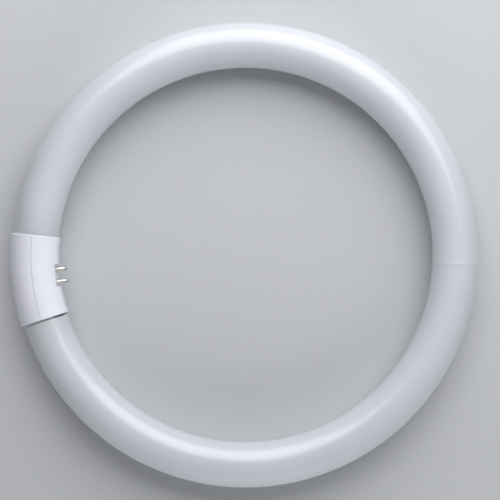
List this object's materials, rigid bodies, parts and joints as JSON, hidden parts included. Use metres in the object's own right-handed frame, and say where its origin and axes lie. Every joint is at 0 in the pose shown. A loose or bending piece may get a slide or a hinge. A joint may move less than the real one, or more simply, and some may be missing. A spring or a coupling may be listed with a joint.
{
  "type": "circular fluorescent tube",
  "caption": "Ring-shaped fluorescent lamp: white-coated glass tube closed by a two-piece moulded cap with contact pins on its inner side.",
  "frame": {"origin": "centre of the ring, on the tube's centre plane", "axes": "+Z along the ring's axis; +X from the cap towards the middle of the ring, the way the contact pins point"},
  "size_m": [0.3007, 0.299, 0.0314],
  "materials": {
    "coated_glass": "clear glass tube over a matt white powder coating, opaque",
    "cap_plastic": "white moulded plastic, semi-gloss",
    "pin_metal": "nickel-plated brass",
    "wire_metal": "drawn nickel-iron wire",
    "sleeve_fibre": "braided glass-fibre sleeving"
  },
  "bodies": {
    "root": {"glass_tube": "coated_glass", "cap_inner_shell": "cap_plastic", "cap_outer_shell": "cap_plastic", "contact_pin_1": "pin_metal", "contact_pin_2": "pin_metal", "contact_pin_3": "pin_metal", "contact_pin_4": "pin_metal", "lead_wire_1": "wire_metal", "lead_wire_2": "wire_metal", "lead_wire_3": "wire_metal", "lead_wire_4": "wire_metal", "wire_sleeve_1": "sleeve_fibre", "wire_sleeve_2": "sleeve_fibre", "wire_sleeve_3": "sleeve_fibre", "wire_sleeve_4": "sleeve_fibre"}
  },
  "joints": []
}
